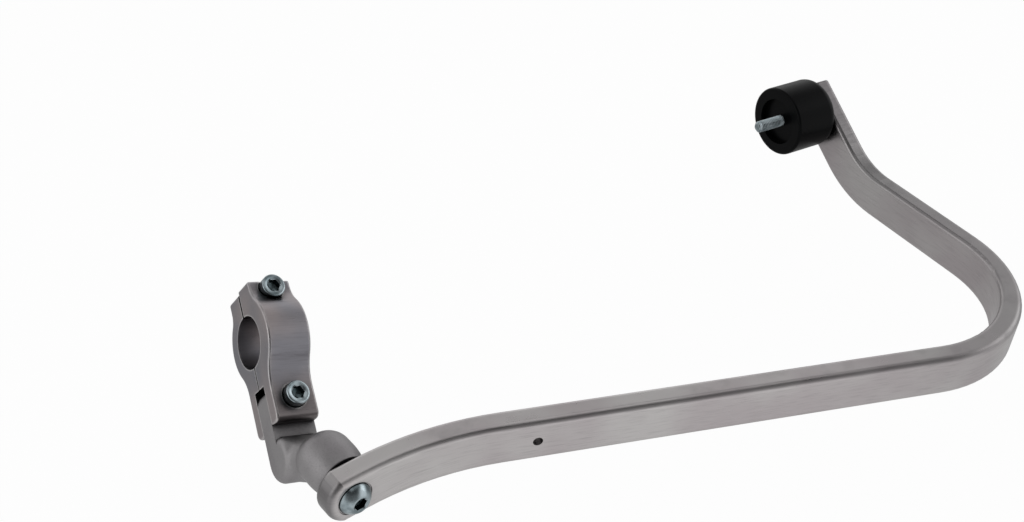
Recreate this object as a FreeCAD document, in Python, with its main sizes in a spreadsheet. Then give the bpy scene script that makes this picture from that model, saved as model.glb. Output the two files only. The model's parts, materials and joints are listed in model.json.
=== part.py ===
# Motorcycle hand guard for the rider's left hand.
# A bent aluminium bar is carried at its inner end by a cast elbow in a split handlebar clamp,
# and at its outer end by a long screw through a plastic spacer into the handlebar's end.
# Millimetres. The origin is the centre of the clamp's bore, +X points outwards along the bar's
# front run, +Y towards the rider and +Z up, square to the plane in which the bar is bent.

import FreeCAD, Part
import math
import os
import re
import Sketcher

Vector = FreeCAD.Vector

# Driving dimensions: name, value, what it is

DIMENSIONS = [
    ("handlebar_diameter", 22.2, "bore of the clamp"),
    ("clamp_width", 18.6, "both clamp halves, along the handlebar"),
    ("clamp_sweep", 16.5, "degrees, the handlebar turned towards the rider"),
    ("clamp_droop", 17.9, "degrees, the handlebar falling towards its end"),
    ("clamp_lean", 58.1, "degrees, the clamp leaning back about the handlebar"),
    ("cap_wall", 8.1, "from the bore to the top of the cap's bulge"),
    ("cap_ear_depth", 10.8, "from the split to the front of the cap's ears"),
    ("cap_top", 23.0, "cap's upper end above the bore's centre"),
    ("cap_bottom", 37.6, "cap's lower end below the bore's centre"),
    ("cap_top_corner", 1.2, "round at the cap's upper end"),
    ("cap_bottom_corner", 3.0, "round at the cap's lower end"),
    ("saddle_wall", 6.2, "from the bore to the back of the saddle's bulge"),
    ("saddle_ear_depth", 10.6, "from the split to the back of the saddle's ears"),
    ("saddle_top", 21.6, "saddle's upper end above the bore's centre"),
    ("saddle_bottom", 39.4, "saddle's lower end below the bore's centre"),
    ("saddle_top_corner", 1.2, "round at the saddle's upper end"),
    ("saddle_bottom_corner", 3.0, "round at the saddle's lower end"),
    ("clamp_gap", 1.1, "open slit above the bore"),
    ("clamp_lower_gap", 0.7, "open slit from the bore down to the tongue's pocket"),
    ("cap_top_hollow", 12.0, "hollow round between the cap's bulge and its upper ear"),
    ("cap_bottom_hollow", 18.0, "hollow round between the cap's bulge and its lower ear"),
    ("saddle_top_hollow", 7.0, "hollow round between the saddle's bulge and its upper ear"),
    ("saddle_bottom_hollow", 14.5, "hollow round between the saddle's bulge and its lower ear"),
    ("clamp_edge", 0.9, "round along the sides of both halves"),
    ("upper_screw_height", 19.0, "upper clamp screw above the bore's centre, to its axis"),
    ("lower_screw_depth", 27.9, "lower clamp screw below the bore's centre, to its axis"),
    ("head_recess", 1.6, "depth of the seats of the clamp screws' heads"),
    ("seat_clearance", 0.3, "round the heads in their seats, on the radius"),
    ("tongue_thickness", 9.2, "connector's tongue between the clamp halves"),
    ("tongue_top", 21.4, "tongue's upper end below the bore's centre"),
    ("tongue_corner", 6.0, "round at the tongue's upper corners"),
    ("pocket_clearance", 0.5, "above the tongue in its pocket"),
    ("heel_radius", 9.3, "rounded lower end of the tongue"),
    ("heel_depth", 51.5, "centre of that round below the bore's centre"),
    ("heel_forward", 2.3, "centre of that round in front of the split"),
    ("heel_edge", 3.2, "round along the sides of the heel"),
    ("barrel_diameter", 22.8, "connector's barrel"),
    ("barrel_seat_diameter", 16.0, "raised seat on the barrel, against the bar"),
    ("barrel_seat_height", 1.0, "raised seat on the barrel, against the bar"),
    ("barrel_nose", 20.2, "diameter of the barrel at its end beside the bar"),
    ("barrel_nose_edge", 0.5, "round at that end"),
    ("barrel_taper", 7.0, "from the bar's rear face to the end of the taper"),
    ("barrel_length", 23.0, "from the bar's rear face to the barrel's closed end"),
    ("barrel_end_round", 9.0, "round at the closed end"),
    ("barrel_shoulder", 25.0, "round between taper and barrel"),
    ("barrel_offset", 2.2, "barrel's centre line outwards of the pivot screw, along the bar"),
    ("neck_diameter", 18.4, "neck between heel and barrel"),
    ("neck_station", 13.0, "where the neck's centre line meets the barrel's, behind the bar"),
    ("elbow_blend", 6.0, "hollow rounds where neck, heel and barrel meet"),
    ("clamp_screw_diameter", 6.0, "both clamp screws"),
    ("clamp_screw_length", 18.0, "both clamp screws, under the head"),
    ("clamp_head_diameter", 10.0, "both clamp screws"),
    ("clamp_head_height", 6.0, "both clamp screws"),
    ("clamp_socket", 5.0, "across the flats of the hexagon"),
    ("clamp_socket_depth", 3.2, "depth of the hexagon"),
    ("pivot_across", 21.1, "pivot in the bar's mid plane, outwards of the bore"),
    ("pivot_forward", 75.9, "pivot in front of the bore"),
    ("pivot_below", 13.6, "pivot below the bore"),
    ("pivot_screw_diameter", 8.0, "screw through the bar's inner end"),
    ("pivot_screw_length", 25.0, "under the head"),
    ("pivot_seat_diameter", 15.2, "shallow seat of the head in the bar's front face"),
    ("pivot_seat_depth", 0.4, "shallow seat of the head in the bar's front face"),
    ("pivot_head_diameter", 14.0, "button head"),
    ("pivot_head_height", 4.4, "button head"),
    ("pivot_head_flat", 7.4, "diameter of the flat on top of the head"),
    ("pivot_socket", 5.0, "across the flats of the hexagon"),
    ("pivot_socket_depth", 2.8, "depth of the hexagon"),
    ("bar_height", 21.0, "bar's section"),
    ("bar_thickness", 10.0, "bar's section"),
    ("bar_front_edge", 2.8, "round along the bar's two front edges"),
    ("bar_rear_edge", 2.0, "round along the bar's two rear edges"),
    ("inner_end_reach", 11.5, "bar beyond the pivot"),
    ("inner_end_radius", 11.7, "arc of the bar's inner end"),
    ("inner_run", 4.2, "straight from the pivot to the first bend"),
    ("inner_bend_radius", 139.8, "first bend, centre line"),
    ("inner_bend_angle", 24.9, "degrees, first bend"),
    ("front_run", 198.7, "straight in front of the fingers"),
    ("outer_bend_radius", 58.0, "main bend, centre line"),
    ("outer_bend_angle", 106.06, "degrees, main bend"),
    ("return_run", 58.5, "straight back towards the handlebar's end"),
    ("kick_radius", 49.0, "edgewise bend upwards, centre line"),
    ("kick_angle", 35.31, "degrees, edgewise bend"),
    ("tip_run", 29.2, "from the edgewise bend to the end screw"),
    ("tip_overhang", 11.8, "bar beyond the end screw"),
    ("tip_edge", 1.0, "round at the bar's outer end"),
    ("shield_hole_distance", 79.5, "from the pivot along the bar"),
    ("shield_hole_diameter", 4.2, "threaded hole for a wind shield"),
    ("spacer_diameter", 36.2, "bar-end spacer"),
    ("spacer_length", 26.6, "bar-end spacer"),
    ("spacer_edge", 1.3, "round at the spacer's free rim"),
    ("spacer_base_edge", 5.0, "round at the spacer's rim beside the bar"),
    ("spacer_recess_diameter", 24.4, "recess that goes over the handlebar's end"),
    ("spacer_recess_depth", 3.1, "recess that goes over the handlebar's end"),
    ("end_screw_diameter", 6.0, "long screw through bar and spacer"),
    ("end_screw_length", 50.0, "under the head"),
    ("end_thread_diameter", 5.35, "pitch diameter of the thread at the end screw's free end"),
    ("end_thread_length", 16.0, "threaded stretch at the end screw's free end"),
    ("end_head_diameter", 10.5, "button head"),
    ("end_head_height", 3.3, "button head"),
    ("end_head_flat", 5.6, "diameter of the flat on top of the head"),
    ("end_socket", 4.0, "across the flats of the hexagon"),
    ("end_socket_depth", 2.1, "depth of the hexagon"),
    ("screw_end_chamfer", 0.8, "at the free end of every screw"),
    ("head_edge", 0.7, "round at the rim of the clamp screws' heads"),
    ("button_rim", 0.5, "straight rim under the dome of a button head"),
    ("hole_clearance", 0.25, "round a shank in a plain hole, on the radius"),
    ("thread_clearance", 0.03, "round a shank in a threaded hole, on the radius"),
    ("thread_run_out", 2.0, "threaded hole beyond the screw's end"),
]
NAMES = [name for name, _, _ in DIMENSIONS]

doc = FreeCAD.newDocument("HandGuard")
sheet = doc.addObject("Spreadsheet::Sheet", "Sizes")
for row, (alias, number, note) in enumerate(DIMENSIONS, start=1):
    sheet.set("A%d" % row, alias)
    sheet.set("B%d" % row, str(number))
    sheet.set("C%d" % row, note)
    sheet.setAlias("B%d" % row, alias)
doc.recompute()


def size(alias):
    """Value of a driving dimension, read from the sheet."""
    return float(sheet.get(alias))


def bind(item, formulas):
    """Bind properties of an object to formulas made of the sheet's names."""
    def linked(word):
        """The sheet's name goes before each of its aliases."""
        return ("Sizes." if word.group() in NAMES else "") + word.group()

    for prop, formula in formulas.items():
        item.setExpression(prop, re.sub(r"[a-z_]+", linked, formula))
    return item


# Frames

X_AXIS = Vector(1, 0, 0)
Y_AXIS = Vector(0, 1, 0)
Z_AXIS = Vector(0, 0, 1)
UPRIGHT = FreeCAD.Rotation()
Z_TO_X = FreeCAD.Rotation(Y_AXIS, 90)
Z_TO_Y = FreeCAD.Rotation(X_AXIS, -90)


def frame_at(place, x_direction, z_direction):
    """Placement whose own X and Z point along the two directions."""
    y_direction = z_direction.cross(x_direction)
    return FreeCAD.Placement(place, FreeCAD.Rotation(x_direction, y_direction, z_direction, "ZXY"))


# The clamp's own frame: X along the handlebar, -Y square to the cap's ears, Z up the split.
clamp_turn = FreeCAD.Rotation(size("clamp_sweep"), size("clamp_droop"), -size("clamp_lean"))
clamp_frame = FreeCAD.Placement(Vector(0, 0, 0), clamp_turn)


class BarPath:
    """Centre line of the bar, drawn run by run, with the directions that go along with it."""

    def __init__(self, start, heading):
        self.place = start
        self.along = heading
        self.outwards = heading.cross(Z_AXIS)
        self.upwards = Z_AXIS
        self.edges = []

    def straight(self, length):
        """Straight run of this length."""
        end = self.place + self.along * length
        self.edges.append(Part.LineSegment(self.place, end).toShape())
        self.place = end

    def bend(self, radius, angle, axis):
        """Arc of this centre-line radius that turns by so many degrees about the axis."""
        spoke = axis.cross(self.along) * math.copysign(radius, angle)
        centre = self.place + spoke
        half_way = FreeCAD.Rotation(axis, angle / 2.0)
        whole_way = FreeCAD.Rotation(axis, angle)
        middle = centre - half_way.multVec(spoke)
        end = centre - whole_way.multVec(spoke)
        self.edges.append(Part.Arc(self.place, middle, end).toShape())
        self.place = end
        self.along = whole_way.multVec(self.along)
        self.outwards = whole_way.multVec(self.outwards)
        self.upwards = whole_way.multVec(self.upwards)

    def length(self):
        """Length drawn so far."""
        return sum(edge.Length for edge in self.edges)

    def station(self, distance):
        """Point and direction at this distance from the start."""
        for edge in self.edges:
            if distance <= edge.Length:
                parameter = edge.getParameterByLength(distance)
                return edge.valueAt(parameter), edge.tangentAt(parameter)
            distance -= edge.Length
        raise ValueError("the path is shorter than that")


pivot = Vector(size("pivot_across"), -size("pivot_forward"), -size("pivot_below"))
start_along = FreeCAD.Rotation(Z_AXIS, size("inner_bend_angle")).multVec(X_AXIS)
path = BarPath(pivot + start_along * size("inner_run"), start_along)
bar_start = path.place
pivot_outwards = path.outwards
path.bend(size("inner_bend_radius"), -size("inner_bend_angle"), Z_AXIS)
path.straight(size("front_run"))
path.bend(size("outer_bend_radius"), size("outer_bend_angle"), Z_AXIS)
path.straight(size("return_run"))
path.bend(size("kick_radius"), size("kick_angle"), path.outwards)
tip_place = path.place + path.along * size("tip_run")

half_bar = size("bar_thickness") / 2.0
pivot_seat = half_bar - size("pivot_seat_depth")
pivot_frame = frame_at(pivot + pivot_outwards * pivot_seat, start_along, pivot_outwards)
barrel_frame = frame_at(pivot - pivot_outwards * half_bar, start_along, -pivot_outwards)
tip_frame = frame_at(tip_place + path.outwards * half_bar, path.upwards, path.outwards)
spacer_frame = frame_at(tip_place - path.outwards * half_bar, path.upwards, -path.outwards)
shield_place, shield_along = path.station(size("shield_hole_distance") - size("inner_run"))
shield_outwards = shield_along.cross(Z_AXIS)
shield_frame = frame_at(shield_place + shield_outwards * half_bar, shield_along, shield_outwards)


# Small builders shared by the sub-parts

def cylinder(name, radius, height, base=("0", "0", "0"), turn=UPRIGHT):
    """Cylinder with its radius, height and base given as formulas."""
    item = doc.addObject("Part::Cylinder", name)
    item.Placement = FreeCAD.Placement(Vector(0, 0, 0), turn)
    formulas = {"Radius": radius, "Height": height}
    formulas.update(zip(("Placement.Base.x", "Placement.Base.y", "Placement.Base.z"), base))
    return bind(item, formulas)


def block(name, length, width, height, corner):
    """Box with its sides and its lowest corner given as formulas."""
    item = doc.addObject("Part::Box", name)
    formulas = {"Length": length, "Width": width, "Height": height}
    formulas.update(zip(("Placement.Base.x", "Placement.Base.y", "Placement.Base.z"), corner))
    return bind(item, formulas)


def drill(name, radius, depth, frame, start=0.0):
    """Cylinder that begins at this height of a frame and runs up its Z axis."""
    item = doc.addObject("Part::Cylinder", name)
    item.Placement = frame.multiply(FreeCAD.Placement(Vector(0, 0, start), UPRIGHT))
    return bind(item, {"Radius": radius, "Height": depth})


def hexagon(name, flats, depth, top):
    """Six-sided socket of this depth below the top, and 1 mm above it."""
    item = doc.addObject("Part::Prism", name)
    item.Polygon = 6
    return bind(item, {
        "Circumradius": "(%s) / sqrt(3)" % flats,
        "Height": "%s + 1" % depth,
        "Placement.Base.z": "%s - (%s)" % (top, depth),
    })


def sphere(name, radius, height, lowest=-90):
    """Ball on its own Z axis, from this latitude up, with radius and height given as formulas."""
    item = doc.addObject("Part::Sphere", name)
    item.Angle1 = lowest
    return bind(item, {"Radius": radius, "Placement.Base.z": height})


def fuse(name, parts):
    """Several solids joined into one."""
    item = doc.addObject("Part::MultiFuse", name)
    item.Shapes = parts
    item.Refine = True
    return item


def common(name, parts):
    """What several solids share."""
    item = doc.addObject("Part::MultiCommon", name)
    item.Shapes = parts
    return item


def cut(name, base, tools):
    """Base without the tools."""
    item = doc.addObject("Part::Cut", name)
    item.Base = base
    item.Tool = tools[0] if len(tools) == 1 else fuse(name + "Tools", tools)
    return item


def middle_of(edge):
    """Point half way along an edge."""
    return edge.valueAt((edge.FirstParameter + edge.LastParameter) / 2.0)


def near(value, target):
    """True where two lengths are the same."""
    return abs(value - target) < 0.01


def dressed(kind, name, base, wanted):
    """Round or bevel edges; wanted(edge) gives a size, or None for an edge left as it is."""
    doc.recompute()
    chosen = []
    for number, edge in enumerate(base.Shape.Edges, start=1):
        amount = None if edge.Degenerated else wanted(edge)
        if amount:
            chosen.append((number, amount, amount))
    if not chosen:
        raise ValueError("no edges chosen for " + name)
    item = doc.addObject("Part::" + kind, name)
    item.Base = base
    item.Edges = chosen
    return item


def rim(radius, height, amount):
    """Chooser of the full circles of this radius at this height."""
    def wanted(edge):
        if not isinstance(edge.Curve, Part.Circle):
            return None
        if near(edge.Curve.Radius, radius) and near(edge.Curve.Center.z, height):
            return amount
        return None
    return wanted


sub_parts = []


def keep(item, label, placement):
    """Name a finished sub-part and put it in its place."""
    doc.recompute()
    item.Label = label
    item.Placement = placement
    sub_parts.append(item)
    return item


def bar_outline(name):
    """Sketch of the bar's section about its own centre; X points out of the front face."""
    sketch = doc.addObject("Sketcher::SketchObject", name)
    across = size("bar_thickness") / 2.0
    up = size("bar_height") / 2.0
    front = size("bar_front_edge")
    rear = size("bar_rear_edge")
    lines = [((rear - across, -up), (across - front, -up)), ((across, front - up), (across, up - front)),
             ((across - front, up), (rear - across, up)), ((-across, up - rear), (-across, rear - up))]
    for begin, end in lines:
        sketch.addGeometry(Part.LineSegment(Vector(begin[0], begin[1], 0), Vector(end[0], end[1], 0)), False)
    corners = [(across - front, front - up, front), (across - front, up - front, front),
               (rear - across, up - rear, rear), (rear - across, rear - up, rear)]
    for turn, (along_x, along_y, radius) in enumerate(corners):
        circle = Part.Circle(Vector(along_x, along_y, 0), Z_AXIS, radius)
        start = (turn - 1) * math.pi / 2.0
        sketch.addGeometry(Part.ArcOfCircle(circle, start, start + math.pi / 2.0), False)
    for turn in range(4):
        sketch.addConstraint(Sketcher.Constraint("Tangent", turn, 2, turn + 4, 1))
        sketch.addConstraint(Sketcher.Constraint("Tangent", turn + 4, 2, (turn + 1) % 4, 1))
    for kind, line in (("Horizontal", 0), ("Vertical", 1), ("Horizontal", 2), ("Vertical", 3)):
        sketch.addConstraint(Sketcher.Constraint(kind, line))
    sketch.addConstraint(Sketcher.Constraint("Equal", 4, 5))
    sketch.addConstraint(Sketcher.Constraint("Equal", 6, 7))
    for kind, values, formula, value in (
            ("Radius", (4,), "bar_front_edge", front),
            ("Radius", (6,), "bar_rear_edge", rear),
            ("DistanceX", (3, 1, 1, 1), "bar_thickness", 2 * across),
            ("DistanceY", (0, 1, 2, 1), "bar_height", 2 * up),
            ("DistanceX", (-1, 1, 1, 1), "bar_thickness / 2", across),
            ("DistanceY", (0, 1, -1, 1), "bar_height / 2", up)):
        number = sketch.addConstraint(Sketcher.Constraint(kind, *values, value))
        bind(sketch, {"Constraints[%d]" % number: formula})
    return sketch


# Backbone: a rounded section carried along the centre line, with a straight end at each side

centre_line = doc.addObject("Part::Feature", "CentreLine")
centre_line.Shape = Part.Wire(path.edges)
bar_section = bar_outline("BarSection")
bar_section.Placement = frame_at(bar_start, pivot_outwards, start_along)
swept_bar = doc.addObject("Part::Sweep", "SweptBar")
swept_bar.Sections = [bar_section]
swept_bar.Spine = (centre_line, ["Edge%d" % (number + 1) for number in range(len(path.edges))])
swept_bar.Solid = True
swept_bar.Frenet = False
doc.recompute()
section_area = Part.Face(bar_section.Shape.Wires[0]).Area
expected = section_area * path.length()
if abs(swept_bar.Shape.Volume - expected) > 0.002 * expected:
    raise ValueError("the bar's volume is %.0f, not %.0f" % (swept_bar.Shape.Volume, expected))


def bar_end(name, length):
    """Straight end of the bar; X runs from its joint with the bends to the free end, Z out of the face."""
    return block(name, length, "bar_height", "bar_thickness", ("0", "-bar_height / 2", "-bar_thickness / 2"))


def bar_round(point):
    """Size of the round at an edge with this middle on the front or the rear face, or None."""
    if near(point.z, size("bar_thickness") / 2.0):
        return size("bar_front_edge")
    if near(point.z, -size("bar_thickness") / 2.0):
        return size("bar_rear_edge")
    return None


inner_reach = "inner_run + inner_end_reach"
inner_arc = cylinder("InnerArc", "inner_end_radius", "bar_thickness",
                     ("%s - inner_end_radius" % inner_reach, "0", "-bar_thickness / 2"))
inner_form = fuse("InnerForm", [bar_end("InnerStart", "inner_run"), inner_arc])
inner_blank = common("InnerBlank", [bar_end("InnerBlock", inner_reach), inner_form])


def inner_outline(edge):
    """The outline of both wide faces, but for the joint's own edges."""
    middle = middle_of(edge)
    return None if near(middle.x, 0) else bar_round(middle)


inner_end = dressed("Fillet", "InnerEnd", inner_blank, inner_outline)
inner_end.Placement = frame_at(bar_start, -start_along, pivot_outwards)

outer_blank = bar_end("OuterBlank", "tip_run + tip_overhang")
outer_reach = size("tip_run") + size("tip_overhang")


def outer_long_edges(edge):
    """The four edges along the bar."""
    middle = middle_of(edge)
    return bar_round(middle) if near(middle.x, outer_reach / 2.0) else None


def outer_rim(edge):
    """The outline of the free end's face."""
    return size("tip_edge") if near(middle_of(edge).x, outer_reach) else None


outer_rounded = dressed("Fillet", "OuterRounded", outer_blank, outer_long_edges)
outer_end = dressed("Fillet", "OuterEnd", outer_rounded, outer_rim)
outer_end.Placement = frame_at(path.place, path.along, path.outwards)
whole_bar = fuse("WholeBar", [inner_end, swept_bar, outer_end])

bar_through = "bar_thickness + 2"
below_bar = -size("bar_thickness") - 1.0
backbone = cut("Bar", whole_bar, [
    drill("PivotHole", "pivot_screw_diameter / 2 + hole_clearance", bar_through, pivot_frame, below_bar),
    drill("PivotSeat", "pivot_seat_diameter / 2", "pivot_seat_depth + 1", pivot_frame),
    drill("ShieldHole", "shield_hole_diameter / 2", bar_through, shield_frame, below_bar),
    drill("TipHole", "end_screw_diameter / 2 + hole_clearance", bar_through, tip_frame, below_bar),
])
keep(backbone, "backbone", FreeCAD.Placement())


# Clamp halves: two flat ears and a round bulge over the handlebar, hollow-rounded between them

HALF_WIDTH = "clamp_width / 2"


def clamp_half(name, side, wall, ear_depth, top, bottom, corners, hollows):
    """Solid half without its holes; side is -1 in front of the split and 1 behind it.

    Corners and hollows name the rounds of the upper and the lower ear.
    """
    ears = block(name + "Ears", "clamp_width", ear_depth, "%s + %s" % (top, bottom),
                 ("-" + HALF_WIDTH, "-" + ear_depth if side < 0 else "0", "-" + bottom))
    bulge_radius = "handlebar_diameter / 2 + %s" % wall
    round_bar = cylinder(name + "Round", bulge_radius, "clamp_width", ("-" + HALF_WIDTH, "0", "0"), Z_TO_X)
    reach = "(%s + 1)" % bulge_radius
    one_side = block(name + "Side", "clamp_width + 2", reach, "2 * %s" % reach,
                     ("-%s - 1" % HALF_WIDTH, "-" + reach if side < 0 else "0", "-" + reach))
    bulge = common(name + "Bulge", [round_bar, one_side])
    solid = fuse(name + "Solid", [ears, bulge])
    face = side * size(ear_depth)
    bulge_size = size("handlebar_diameter") / 2.0 + size(wall)
    meeting = math.sqrt(bulge_size ** 2 - face ** 2)

    def across(edge):
        """Hollow rounds beside the bulge and corners at the two ends."""
        middle = middle_of(edge)
        if not near(middle.x, 0) or not near(middle.y, face):
            return None
        ear = 0 if middle.z > 0 else 1
        if near(abs(middle.z), meeting):
            return size(hollows[ear])
        if near(middle.z, size(top)) or near(middle.z, -size(bottom)):
            return size(corners[ear])
        return None

    shaped = dressed("Fillet", name + "Shaped", solid, across)

    def along_sides(edge):
        """Every edge of the two flat sides but the one at the split."""
        middle = middle_of(edge)
        on_side = near(abs(middle.x), size("clamp_width") / 2.0)
        return size("clamp_edge") if on_side and not near(middle.y, 0) else None

    return dressed("Fillet", name + "Smooth", shaped, along_sides)


def clamp_tools(name, bottom):
    """Bore, the slits above and below it and the tongue's pocket, cut from both halves."""
    wide = "clamp_width + 2"
    left = "-%s - 1" % HALF_WIDTH
    pocket_top = "tongue_top - pocket_clearance"
    return [
        cylinder(name + "Bore", "handlebar_diameter / 2", wide, (left, "0", "0"), Z_TO_X),
        block(name + "Slit", wide, "clamp_gap", "cap_top + saddle_top", (left, "-clamp_gap / 2", "0")),
        block(name + "LowerSlit", wide, "clamp_lower_gap", pocket_top,
              (left, "-clamp_lower_gap / 2", "-(%s)" % pocket_top)),
        block(name + "Pocket", wide, "tongue_thickness", "%s - (%s) + 1" % (bottom, pocket_top),
              (left, "-tongue_thickness / 2", "-%s - 1" % bottom)),
    ]


SCREW_HEIGHTS = (("Upper", "upper_screw_height"), ("Lower", "-lower_screw_depth"))
cap_tools = clamp_tools("Cap", "cap_bottom")
saddle_tools = clamp_tools("Saddle", "saddle_bottom")
for screw_name, height in SCREW_HEIGHTS:
    cap_tools.append(cylinder("CapHole" + screw_name, "clamp_screw_diameter / 2 + hole_clearance",
                              "cap_ear_depth + 1", ("0", "-cap_ear_depth", height), Z_TO_Y))
    cap_tools.append(cylinder("CapSeat" + screw_name, "clamp_head_diameter / 2 + seat_clearance",
                              "head_recess + 20", ("0", "-cap_ear_depth - 20", height), Z_TO_Y))
    saddle_tools.append(cylinder("SaddleHole" + screw_name, "clamp_screw_diameter / 2 + thread_clearance",
                                 "saddle_ear_depth + 2", ("0", "-1", height), Z_TO_Y))
cap_half = clamp_half("Cap", -1, "cap_wall", "cap_ear_depth", "cap_top", "cap_bottom",
                      ("cap_top_corner", "cap_bottom_corner"),
                      ("cap_top_hollow", "cap_bottom_hollow"))
saddle_half = clamp_half("Saddle", 1, "saddle_wall", "saddle_ear_depth", "saddle_top", "saddle_bottom",
                         ("saddle_top_corner", "saddle_bottom_corner"),
                         ("saddle_top_hollow", "saddle_bottom_hollow"))
keep(cut("CapCut", cap_half, cap_tools), "clamp_cap", clamp_frame)
keep(cut("SaddleCut", saddle_half, saddle_tools), "clamp_saddle", clamp_frame)


# Connector: a flat tongue that ends in a rounded heel, and a neck from there to the barrel

tongue = block("Tongue", "clamp_width", "tongue_thickness", "heel_depth - tongue_top",
               ("-" + HALF_WIDTH, "-tongue_thickness / 2", "-heel_depth"))


def tongue_shoulders(edge):
    """The two upper corners of the tongue."""
    middle = middle_of(edge)
    corner = near(abs(middle.x), size("clamp_width") / 2.0) and near(middle.z, -size("tongue_top"))
    return size("tongue_corner") if corner else None


tongue_round = dressed("Fillet", "TongueRound", tongue, tongue_shoulders)
heel_bar = cylinder("HeelBar", "heel_radius", "clamp_width",
                    ("-" + HALF_WIDTH, "-heel_forward", "-heel_depth"), Z_TO_X)
heel = dressed("Fillet", "Heel", heel_bar,
               lambda edge: size("heel_edge") if isinstance(edge.Curve, Part.Circle) else None)

raised_seat = cylinder("BarrelSeat", "barrel_seat_diameter / 2", "barrel_seat_height + 1")
taper = doc.addObject("Part::Cone", "BarrelTaper")
bind(taper, {
    "Radius1": "barrel_nose / 2",
    "Radius2": "barrel_diameter / 2",
    "Height": "barrel_taper - barrel_seat_height",
    "Placement.Base.z": "barrel_seat_height",
})
barrel_run = cylinder("BarrelRun", "barrel_diameter / 2", "barrel_length - barrel_taper",
                      ("0", "0", "barrel_taper"))


def barrel_rounds(edge):
    """The rim of the nose, the shoulder where the taper ends and the closed end's rim."""
    if not isinstance(edge.Curve, Part.Circle):
        return None
    rounds = (("barrel_seat_height", "barrel_nose", "barrel_nose_edge"),
              ("barrel_taper", "barrel_diameter", "barrel_shoulder"),
              ("barrel_length", "barrel_diameter", "barrel_end_round"))
    for height, diameter, amount in rounds:
        if near(edge.Curve.Center.z, size(height)) and near(edge.Curve.Radius, size(diameter) / 2.0):
            return size(amount)
    return None


barrel = dressed("Fillet", "Barrel", fuse("BarrelBody", [raised_seat, taper, barrel_run]), barrel_rounds)
local_barrel = clamp_frame.inverse().multiply(barrel_frame)
barrel_offset = FreeCAD.Placement(Vector(size("barrel_offset"), 0, 0), UPRIGHT)
barrel.Placement = local_barrel.multiply(barrel_offset)

heel_centre = Vector(0, -size("heel_forward"), -size("heel_depth"))
neck_goal = barrel.Placement.multVec(Vector(0, 0, size("neck_station")))
neck_line = neck_goal - heel_centre
neck = drill("Neck", "neck_diameter / 2", str(neck_line.Length),
             FreeCAD.Placement(heel_centre, FreeCAD.Rotation(Z_AXIS, neck_line)))
elbow = fuse("Elbow", [heel, neck, barrel])


def where_they_meet(edge):
    """The seams of heel, neck and barrel: edges that lie on two of the three."""
    point = Part.Vertex(middle_of(edge))
    touched = [item for item in (heel, neck, barrel) if item.Shape.distToShape(point)[0] < 0.01]
    return size("elbow_blend") if len(touched) > 1 else None


blended = dressed("Fillet", "Blended", elbow, where_they_meet)
whole_elbow = fuse("WholeElbow", [blended, tongue_round])
thread_depth = "pivot_screw_length + pivot_seat_depth - bar_thickness + thread_run_out"
elbow_tools = [
    cylinder("TongueHole", "clamp_screw_diameter / 2 + hole_clearance", "tongue_thickness + 2",
             ("0", "-tongue_thickness / 2 - 1", "-lower_screw_depth"), Z_TO_Y),
    drill("PivotThread", "pivot_screw_diameter / 2 + thread_clearance", thread_depth, local_barrel),
]
keep(cut("ElbowCut", whole_elbow, elbow_tools), "clamp_connector", clamp_frame)


# Screws: each stands on its own Z axis, with the underside of its head at zero

def shank(name, diameter, length):
    """Plain shank below the head with a bevelled end."""
    plain = cylinder(name + "Rod", "%s / 2" % diameter, length, ("0", "0", "-" + length))
    end = rim(size(diameter) / 2.0, -size(length), size("screw_end_chamfer"))
    return dressed("Chamfer", name + "Shank", plain, end)


def socket_screw(name):
    """Cylinder head with a rounded rim and a hexagon socket."""
    disc = cylinder(name + "Disc", "clamp_head_diameter / 2", "clamp_head_height")
    top = rim(size("clamp_head_diameter") / 2.0, size("clamp_head_height"), size("head_edge"))
    head = dressed("Fillet", name + "Head", disc, top)
    body = fuse(name + "Body", [head, shank(name, "clamp_screw_diameter", "clamp_screw_length")])
    socket = hexagon(name + "Socket", "clamp_socket", "clamp_socket_depth", "clamp_head_height")
    return cut(name + "Screw", body, [socket])


def button_screw(name, prefix, stem):
    """Domed head with a small flat, a straight rim and a hexagon socket, on its stem."""
    radius = "(%s_head_diameter / 2)" % prefix
    flat = "(%s_head_flat / 2)" % prefix
    height = "%s_head_height" % prefix
    centre = "((%s^2 + %s^2 - %s^2 - button_rim^2) / (2 * (%s - button_rim)))" % (flat, height, radius, height)
    ball = sphere(name + "Ball", "sqrt(%s^2 + (button_rim - %s)^2)" % (radius, centre), centre)
    head = common(name + "Head", [cylinder(name + "Disc", radius, height), ball])
    body = fuse(name + "Body", [head, stem])
    socket = hexagon(name + "Socket", prefix + "_socket", prefix + "_socket_depth", height)
    return cut(name + "Screw", body, [socket])


seat_turn = FreeCAD.Rotation(X_AXIS, 90)
for screw_name, height in (("upper", size("upper_screw_height")), ("lower", -size("lower_screw_depth"))):
    seat = FreeCAD.Placement(Vector(0, size("head_recess") - size("cap_ear_depth"), height), seat_turn)
    keep(socket_screw("Clamp" + screw_name), "clamp_screw_" + screw_name, clamp_frame.multiply(seat))
pivot_stem = shank("Pivot", "pivot_screw_diameter", "pivot_screw_length")
keep(button_screw("Pivot", "pivot", pivot_stem), "pivot_screw", pivot_frame)
plain_length = "(end_screw_length - end_thread_length)"
end_stem = fuse("EndStem", [
    cylinder("EndPlain", "end_screw_diameter / 2", plain_length, ("0", "0", "-" + plain_length)),
    shank("EndThread", "end_thread_diameter", "end_screw_length"),
])
keep(button_screw("End", "end", end_stem), "bar_end_screw", tip_frame)


# Spacer: a plastic drum between the bar and the handlebar's end

drum = cylinder("Drum", "spacer_diameter / 2", "spacer_length")


def drum_rims(edge):
    """The drum's two rims, each with a round of its own."""
    if not isinstance(edge.Curve, Part.Circle):
        return None
    return size("spacer_base_edge") if near(edge.Curve.Center.z, 0) else size("spacer_edge")


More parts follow.
